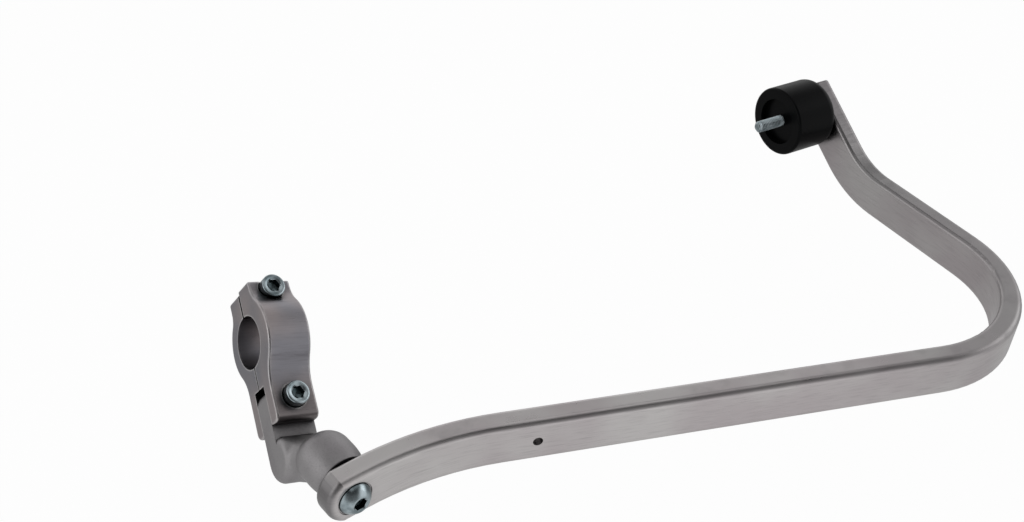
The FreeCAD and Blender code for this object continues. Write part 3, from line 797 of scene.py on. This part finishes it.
@dataclass(frozen=True)
class Finish:
    """A finish, and the values that its groups are placed with.

    Args:
        slot: Finish slot that it fills.
        colour: Main colour, linear.
        drift_colour: Colour that the clouds lead to.
        wear_and_highlight_colour: Colour of rubbed edges, and of painted highlights where it is bright.
        shelter_colour: Dark colour of the grain's streaks, and of painted shade in recesses and on
            shaded ends.
        metallic: 1 for bare metal and 0 for plastic.
        specular: Level of the reflections where it isn't metallic.
        roughness: Roughness of the plain surface.
        edge_roughness: Roughness of rubbed edges.
        roughness_spread: Change of roughness with the grain.
        grain_scale: Grains per metre of the coarser noise.
        grain_stretch: Scale of the grain along its frame's X, Y and Z: grains are long where it is low.
        grain_turn: Degrees that the grain's frame is turned about X, then Y, then Z.
        grain_height: Depth of the grain in metres.
        wear_width: Width of the rubbed and highlighted edges in metres.
        wear_amount: Share of the edge colour that shows there, as wear and as a painted highlight.
        drift_scale: Clouds per metre.
        shelter_reach: Distance within which nearby surfaces make painted shade, in metres.
        shelter_amount: Share of the dark colour that is painted as shade there.
        streak: Share of the dark colour that shows along the grain.
        painted_shade_ends: Ends of the piece with painted shade on faces that look one way.
    """

    slot: Slot
    colour: Triple
    drift_colour: Triple
    wear_and_highlight_colour: Triple
    shelter_colour: Triple
    metallic: float = 1.0
    specular: float = 0.5
    roughness: float = 0.4
    edge_roughness: float = 0.3
    roughness_spread: float = 0.15
    grain_scale: float = 900.0
    grain_stretch: Triple = (1.0, 1.0, 1.0)
    grain_turn: Triple = (0.0, 0.0, 0.0)
    grain_height: float = 0.00002
    wear_width: float = 0.0006
    wear_amount: float = 0.5
    drift_scale: float = 22.0
    shelter_reach: float = 0.01
    shelter_amount: float = 0.9
    streak: float = 0.35
    painted_shade_ends: tuple[PaintedShadeEnd, ...] = ()

    def build(self, groups: SharedGroups) -> bpy.types.Material:
        """Make the material.

        Args:
            groups: Shader groups to place in it.

        Returns:
            The material, with one Principled shader.
        """
        material = bpy.data.materials.new(self.slot.value)
        material.use_nodes = True
        tree = material.node_tree
        tree.nodes.clear()
        output = add_node(tree, "OutputMaterial")
        shader = add_node(tree, "BsdfPrincipled")
        tree.links.new(shader.outputs["BSDF"], output.inputs["Surface"])
        shader.inputs["Metallic"].default_value = self.metallic
        shader.inputs["Specular IOR Level"].default_value = self.specular

        drift = self.place(tree, groups.drift, Scale=self.drift_scale)
        turn = tuple(math.radians(angle) for angle in self.grain_turn)
        grain = self.place(tree, groups.grain, Scale=self.grain_scale, Stretch=self.grain_stretch,
                           Turn=turn)
        # Painted shade: an ambient-occlusion mask darkens the colour in recesses, between parts and
        # round screw heads.
        shelter = self.place(tree, groups.shelter, Reach=self.shelter_reach)
        # Edge mask: rubbed wear, and a painted highlight where the edge colour is bright.
        wear = self.place(tree, groups.wear, Width=self.wear_width)
        amount = math_node(tree, "MULTIPLY", wear.outputs["Mask"], self.wear_amount)

        base = self.mix(tree, drift.outputs["Cloud"], self.colour, self.drift_colour)
        streaks = math_node(tree, "MULTIPLY", grain.outputs["Tone"], self.streak, clamp=True)
        streaked_and_shaded = self.mix(tree, streaks, base, self.shelter_colour)
        # Painted shade on the piece's ends, on faces that look one way.
        for end in self.painted_shade_ends:
            toned = self.place(tree, groups.toned_end, Place=end.place, Along=end.along,
                               Facing=end.facing, Reach=end.reach)
            end_shade = math_node(tree, "MULTIPLY", toned.outputs["Mask"], end.amount)
            streaked_and_shaded = self.mix(tree, end_shade, streaked_and_shaded, self.shelter_colour)
        edge_marked = self.mix(tree, amount, streaked_and_shaded, self.wear_and_highlight_colour)
        shade_share = math_node(tree, "MULTIPLY", shelter.outputs["Mask"], self.shelter_amount)
        sheltered = self.mix(tree, shade_share, edge_marked, self.shelter_colour)
        tree.links.new(sheltered, shader.inputs["Base Color"])

        plain = scaled_sum(tree, grain.outputs["Tone"], self.roughness_spread, self.roughness)
        polish = self.edge_roughness - self.roughness
        tree.links.new(scaled_sum(tree, amount, polish, plain, clamp=True), shader.inputs["Roughness"])

        bump = add_node(tree, "Bump")
        bump.inputs["Strength"].default_value = 1.0
        bump.inputs["Distance"].default_value = self.grain_height
        tree.links.new(grain.outputs["Height"], bump.inputs["Height"])
        tree.links.new(bump.outputs["Normal"], shader.inputs["Normal"])
        LOG.info("finish %s is made", self.slot.value)
        return material

    @staticmethod
    def place(tree: Tree, group: Tree, **values: object) -> bpy.types.Node:
        """Place a shared group in a material, with values for its inputs."""
        node = add_node(tree, "Group", node_tree=group)
        for key, value in values.items():
            node.inputs[key].default_value = value
        return node

    @staticmethod
    def mix(tree: Tree, share: Socket, first: object, second: Triple) -> Socket:
        """Colour between two others.

        Args:
            tree: Material's tree.
            share: Share of the second colour.
            first: Colour or socket.
            second: Colour.

        Returns:
            The mixed colour's socket.
        """
        node = add_node(tree, "Mix", data_type="RGBA")
        tree.links.new(share, node.inputs["Factor"])
        if isinstance(first, Socket):
            tree.links.new(first, node.inputs[MIX_FIRST])
        else:
            node.inputs[MIX_FIRST].default_value = (*first, 1.0)
        node.inputs[MIX_SECOND].default_value = (*second, 1.0)
        return node.outputs[MIX_RESULT]


CLAMP_POSE = ClampPose()

# Painted shade, on faces that look one way: the bar's inner end, its outer bend, the top of its return
# and its tip, and the clamp's lower ear
INNER_END = PaintedShadeEnd(
    place=(0.0211, -0.0759, -0.0136),
    along=(-0.907, -0.421, 0.0),
    facing=(-0.907, -0.421, 0.0),
    reach=0.009,
    amount=0.75,
)
OUTER_BEND = PaintedShadeEnd(
    place=(0.2, 0.0, 0.0),
    along=(1.0, 0.0, 0.0),
    facing=(0.2, -0.6, 0.77),
    reach=0.12,
    amount=0.22,
)
BEND_TOP = PaintedShadeEnd(
    place=(0.22, 0.0, 0.0),
    along=(1.0, 0.0, 0.0),
    facing=(0.0, 0.0, 1.0),
    reach=0.11,
    amount=0.45,
)
RETURN_TOP = PaintedShadeEnd(
    place=(0.355, 0.0, -0.01),
    along=(-0.28, 0.96, 0.0),
    facing=(0.0, -0.2, 0.98),
    reach=0.07,
    amount=0.2,
)
TIP_END = PaintedShadeEnd(
    place=(0.314, 0.096, -0.005),
    along=(-0.226, 0.784, 0.578),
    facing=(-0.565, -0.59, 0.577),
    reach=0.025,
    amount=0.2,
)
LOWER_EAR = PaintedShadeEnd(
    place=(0.001, -0.012, -0.007),
    along=(0.085, -0.86, -0.503),
    facing=(0.4, -0.433, 0.808),
    reach=0.018,
    amount=0.5,
)
FINISHES = (
    Finish(
        Slot.BAR,
        colour=(0.53, 0.512, 0.508),
        drift_colour=(0.46, 0.425, 0.432),
        wear_and_highlight_colour=(0.66, 0.65, 0.65),
        shelter_colour=(0.1, 0.098, 0.102),
        roughness=0.33,
        roughness_spread=0.3,
        grain_scale=1800.0,
        grain_stretch=(0.05, 0.05, 1.0),
        grain_height=0.00001,
        wear_amount=0.12,
        shelter_reach=0.004,
        shelter_amount=0.6,
        streak=0.9,
        painted_shade_ends=(INNER_END, OUTER_BEND, BEND_TOP, RETURN_TOP, TIP_END),
    ),
    Finish(
        Slot.CLAMP,
        colour=(0.335, 0.298, 0.3),
        drift_colour=(0.235, 0.232, 0.255),
        # Bright edges at full share: a painted highlight along the clamp's edges.
        wear_and_highlight_colour=(0.85, 0.84, 0.83),
        shelter_colour=(0.06, 0.055, 0.055),
        roughness=0.34,
        roughness_spread=0.35,
        grain_scale=1500.0,
        grain_stretch=(0.06, 1.0, 1.0),
        grain_turn=CLAMP_POSE.angles(),
        grain_height=0.00002,
        wear_width=0.0011,
        wear_amount=1.0,
        drift_scale=35.0,
        shelter_reach=0.018,
        streak=0.5,
        painted_shade_ends=(LOWER_EAR,),
    ),
    Finish(
        Slot.CAST,
        colour=(0.325, 0.315, 0.32),
        drift_colour=(0.275, 0.262, 0.27),
        wear_and_highlight_colour=(0.42, 0.41, 0.41),
        shelter_colour=(0.045, 0.044, 0.046),
        roughness=0.5,
        grain_scale=1500.0,
        grain_height=0.00005,
        wear_amount=0.3,
        drift_scale=40.0,
        shelter_reach=0.022,
        streak=0.5,
    ),
    Finish(
        Slot.ZINC,
        colour=(0.42, 0.485, 0.515),
        drift_colour=(0.15, 0.19, 0.205),
        # Near-white edges: a painted highlight on the head rims and socket mouths, with some rubbed
        # wear.
        wear_and_highlight_colour=(0.9, 0.94, 0.98),
        shelter_colour=(0.03, 0.05, 0.055),
        roughness=0.24,
        edge_roughness=0.18,
        grain_scale=2500.0,
        grain_height=0.00001,
        wear_width=0.0004,
        wear_amount=0.7,
        drift_scale=160.0,
        shelter_reach=0.005,
        shelter_amount=0.85,
    ),
    Finish(
        Slot.PLASTIC,
        colour=(0.0015, 0.0015, 0.0019),
        drift_colour=(0.0025, 0.0027, 0.003),
        wear_and_highlight_colour=(0.008, 0.008, 0.0085),
        shelter_colour=(0.001, 0.001, 0.0012),
        metallic=0.0,
        specular=0.06,
        roughness=0.3,
        edge_roughness=0.3,
        grain_scale=2200.0,
        grain_height=0.00001,
        wear_amount=0.4,
    ),
)


# Sub-assemblies

@dataclass
class GuardBar:
    """The bent bar, with the two screws that stand on its outer face."""

    line: BarLine
    bar_node: str = "backbone"

    def build(self, nodes: dict[str, bpy.types.Object],
              finishes: dict[Slot, bpy.types.Material]) -> None:
        """Dress the bar and make its screws.

        Args:
            nodes: Solids of the frame, by name.
            finishes: Materials by slot.
        """
        dress(nodes[self.bar_node], Slot.BAR, finishes)
        pivot_frame, tip_frame = self.line.screw_frames()
        DrivenScrew("pivot_button_screw", "pivot_screw", HeadStyle.BUTTON, head=(14.0, 4.4),
                    socket=(5.0, 2.8), shank=(8.0, 25.0), thread=(8.0, 1.25, 6.0),
                    flat=7.4).build(pivot_frame, finishes[Slot.ZINC])
        DrivenScrew("end_button_screw", "bar_end_screw", HeadStyle.BUTTON, head=(10.5, 3.3),
                    socket=(4.0, 2.1), shank=(6.0, 50.0), thread=(5.9, 1.0, 16.0),
                    flat=5.6).build(tip_frame, finishes[Slot.ZINC])


@dataclass
class HandlebarClamp:
    """The two clamp halves, the cast elbow between them and the two cap screws."""

    pose: ClampPose
    halves: tuple[str, str] = ("clamp_cap", "clamp_saddle")
    elbow: str = "clamp_connector"

    def build(self, nodes: dict[str, bpy.types.Object],
              finishes: dict[Slot, bpy.types.Material]) -> None:
        """Dress the halves and the elbow, and make the screws.

        Args:
            nodes: Solids of the frame, by name.
            finishes: Materials by slot.
        """
        for name in self.halves:
            dress(nodes[name], Slot.CLAMP, finishes)
        dress(nodes[self.elbow], Slot.CAST, finishes)
        seats = (("upper", self.pose.upper_height), ("lower", -self.pose.lower_depth))
        for place, height in seats:
            DrivenScrew(place + "_cap_screw", "clamp_screw_" + place, HeadStyle.CYLINDER,
                        head=(10.0, 6.0), socket=(5.0, 3.2), shank=(6.0, 18.0), thread=(6.0, 1.0, 8.0),
                        knurls=48).build(self.pose.seat(height), finishes[Slot.ZINC])


@dataclass
class EndSpacer:
    """The plastic drum between the bar and the handlebar's end."""

    node: str = "bar_end_spacer"

    def build(self, nodes: dict[str, bpy.types.Object],
              finishes: dict[Slot, bpy.types.Material]) -> None:
        """Dress the drum."""
        dress(nodes[self.node], Slot.PLASTIC, finishes)


def dress(node: bpy.types.Object, slot: Slot, finishes: dict[Slot, bpy.types.Material]) -> None:
    """Give a solid of the frame its finish.

    Args:
        node: The solid.
        slot: Finish slot that it belongs to.
        finishes: Materials by slot.
    """
    node.data.materials.clear()
    node.data.materials.append(finishes[slot])
    LOG.info("%s is dressed in %s", node.name, slot.value)


# Studio

@dataclass(frozen=True)
class Fade:
    """Level of the surroundings that changes with the angle from a direction.

    Args:
        towards: Direction that the angle is measured from.
        cosines: Cosines of the angle between which the level changes.
        levels: Level at the first cosine and below, and at the second and above.
    """

    towards: Triple
    cosines: tuple[float, float]
    levels: tuple[float, float]

    def socket(self, tree: Tree, direction: Socket) -> Socket:
        """Level's socket, for the direction that is looked along."""
        cosine = dot_product(tree, direction, Vector(self.towards).normalized())
        return map_range(tree, cosine, self.cosines, self.levels)


@dataclass(frozen=True)
class Lamp:
    """Square lamp that shines on the part's middle.

    Args:
        name: Lamp's name.
        place: Where it hangs, in metres.
        side: Side of the square, in metres.
        power: Power in watts.
    """

    name: str
    place: Triple
    side: float
    power: float

    def hang(self, middle: Vector) -> None:
        """Hang it, turned to the part's middle."""
        light = bpy.data.lights.new(self.name, "AREA")
        light.shape = "SQUARE"
        light.size = self.side
        light.energy = self.power
        holder = bpy.data.objects.new(self.name, light)
        holder.location = self.place
        holder.rotation_euler = (middle - Vector(self.place)).to_track_quat("-Z", "Y").to_euler()
        bpy.context.scene.collection.objects.link(holder)


LAMPS = (
    Lamp("overhead", place=(0.1, 0.1, 1.0), side=1.0, power=1.6),
    Lamp("left", place=(-0.9, -0.3, 0.6), side=0.7, power=1.0),
    Lamp("right", place=(1.1, 0.1, 0.5), side=0.6, power=0.8),
)


@dataclass
class Studio:
    """Pale floor, white surroundings, three soft lamps and the camera.

    Args:
        floor_drop: How far the floor lies below the part, in metres.
        floor_reach: Half the floor's side, in metres.
        floor_grey: Share of light that the floor sends back.
        floor_seen: Share of plain white that the camera sees on the floor.
        floor_mirrored: Share of the fade below that reflections see on the floor.
        mirror_span: Y of the floor between which its level in reflections changes, in metres.
        mirror_levels: That level in front, and behind.
        overhead: Level of the surroundings overhead, in reflections.
        camera_side: Level of the surroundings beside and above the camera, in reflections.
        sky: Strength of the light that the surroundings give.
        middle: Point that the lamps shine on, in metres.
        camera_place: Where the camera stands, in metres.
        camera_right: Direction of the picture's right side.
        camera_ahead: Direction that the camera looks along.
        lens: Focal length in millimetres.
        sensor: Width of the sensor in millimetres.
    """

    floor_drop: float = 0.05
    floor_reach: float = 6.0
    floor_grey: float = 0.8
    floor_seen: float = 0.96
    floor_mirrored: float = 0.85
    mirror_span: tuple[float, float] = (-0.25, 0.1)
    mirror_levels: tuple[float, float] = (1.0, 0.5)
    overhead: Fade = Fade(towards=(0.0, 0.0, 1.0), cosines=(0.45, 0.88), levels=(1.0, 0.2))
    camera_side: Fade = Fade(towards=(-0.05, -0.74, 0.67), cosines=(0.5, 0.9), levels=(1.0, 0.22))
    sky: float = 0.6
    middle: Triple = (0.17, 0.0, 0.0)
    camera_place: Triple = (-0.01018, -0.38798, 0.33028)
    camera_right: Triple = (0.96761, -0.24892, 0.04214)
    camera_ahead: Triple = (0.22365, 0.76775, -0.60045)
    lens: float = 42.19
    sensor: float = 36.0

    def build(self) -> None:
        """Set up everything round the part."""
        bpy.context.scene.view_settings.view_transform = "Standard"
        self.lay_floor()
        self.light_world()
        for lamp in LAMPS:
            lamp.hang(Vector(self.middle))
        self.set_camera()

    def lay_floor(self) -> None:
        """Pale floor that the camera sees almost white, with the part's soft shadow."""
        low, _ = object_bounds()
        reach = self.floor_reach
        height = low.z - self.floor_drop
        corners = [(-reach, -reach, height), (reach, -reach, height), (reach, reach, height),
                   (-reach, reach, height)]
        mesh = bpy.data.meshes.new("floor")
        mesh.from_pydata(corners, [], [(0, 1, 2, 3)])
        floor = bpy.data.objects.new("floor", mesh)
        bpy.context.scene.collection.objects.link(floor)
        mesh.materials.append(self.floor_material())
        floor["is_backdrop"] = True

    def floor_material(self) -> bpy.types.Material:
        """Matt pale grey, white to the camera, and in reflections whiter in front than behind."""
        material = bpy.data.materials.new("studio_floor")
        material.use_nodes = True
        tree = material.node_tree
        tree.nodes.clear()
        output = add_node(tree, "OutputMaterial")
        matt = add_node(tree, "BsdfDiffuse")
        matt.inputs["Color"].default_value = (self.floor_grey, self.floor_grey, self.floor_grey, 1.0)
        white = add_node(tree, "Emission")
        white.inputs["Color"].default_value = (1.0, 1.0, 1.0, 1.0)
        place = add_node(tree, "TexCoord")
        parts = add_node(tree, "SeparateXYZ")
        tree.links.new(place.outputs["Object"], parts.inputs["Vector"])
        behind = map_range(tree, parts.outputs["Y"], self.mirror_span, self.mirror_levels)
        path = add_node(tree, "LightPath")
        mirrored = math_node(tree, "MULTIPLY", path.outputs["Is Glossy Ray"], behind)
        strength = math_node(tree, "MAXIMUM", mirrored, path.outputs["Is Camera Ray"])
        tree.links.new(strength, white.inputs["Strength"])
        reflected = math_node(tree, "MULTIPLY", path.outputs["Is Glossy Ray"], self.floor_mirrored)
        share = scaled_sum(tree, path.outputs["Is Camera Ray"], self.floor_seen, reflected)
        mixed = add_node(tree, "MixShader")
        tree.links.new(share, mixed.inputs["Fac"])
        tree.links.new(matt.outputs["BSDF"], mixed.inputs[1])
        tree.links.new(white.outputs["Emission"], mixed.inputs[2])
        tree.links.new(mixed.outputs["Shader"], output.inputs["Surface"])
        return material

    def light_world(self) -> None:
        """White surroundings that are dimmer overhead and beside the camera in reflections."""
        world = bpy.data.worlds.new("studio")
        bpy.context.scene.world = world
        world.use_nodes = True
        tree = world.node_tree
        tree.nodes.clear()
        output = add_node(tree, "OutputWorld")
        background = add_node(tree, "Background")
        background.inputs["Color"].default_value = (1.0, 1.0, 1.0, 1.0)
        direction = add_node(tree, "TexCoord").outputs["Generated"]
        dim = math_node(tree, "MULTIPLY", self.overhead.socket(tree, direction),
                        self.camera_side.socket(tree, direction))
        path = add_node(tree, "LightPath")
        glossy = math_node(tree, "MULTIPLY", path.outputs["Is Glossy Ray"], dim)
        lit = scaled_sum(tree, path.outputs["Is Diffuse Ray"], self.sky, glossy)
        seen = math_node(tree, "MAXIMUM", path.outputs["Is Camera Ray"],
                         path.outputs["Is Transmission Ray"])
        strength = math_node(tree, "ADD", lit, seen)
        tree.links.new(strength, background.inputs["Strength"])
        tree.links.new(background.outputs["Background"], output.inputs["Surface"])

    def set_camera(self) -> None:
        """Camera at the photograph's place, angle and width of view."""
        data = bpy.data.cameras.new("camera")
        data.sensor_width = self.sensor
        data.lens = self.lens
        data.clip_start = 0.01
        camera = bpy.data.objects.new("camera", data)
        right = Vector(self.camera_right).normalized()
        back = -Vector(self.camera_ahead).normalized()
        up = back.cross(right).normalized()
        turn = Matrix((right, up, back)).transposed()
        camera.matrix_world = Matrix.Translation(self.camera_place) @ turn.to_4x4()
        bpy.context.scene.collection.objects.link(camera)
        bpy.context.scene.camera = camera


def main() -> None:
    """Build the part's looks and the studio."""
    logging.basicConfig(level=logging.INFO, format="%(name)s: %(message)s")
    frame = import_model()
    groups = SharedGroups.build()
    finishes = {finish.slot: finish.build(groups) for finish in FINISHES}
    for assembly in (GuardBar(BarLine()), HandlebarClamp(CLAMP_POSE), EndSpacer()):
        assembly.build(frame["nodes"], finishes)
    Studio().build()


if __name__ == "__main__":
    main()
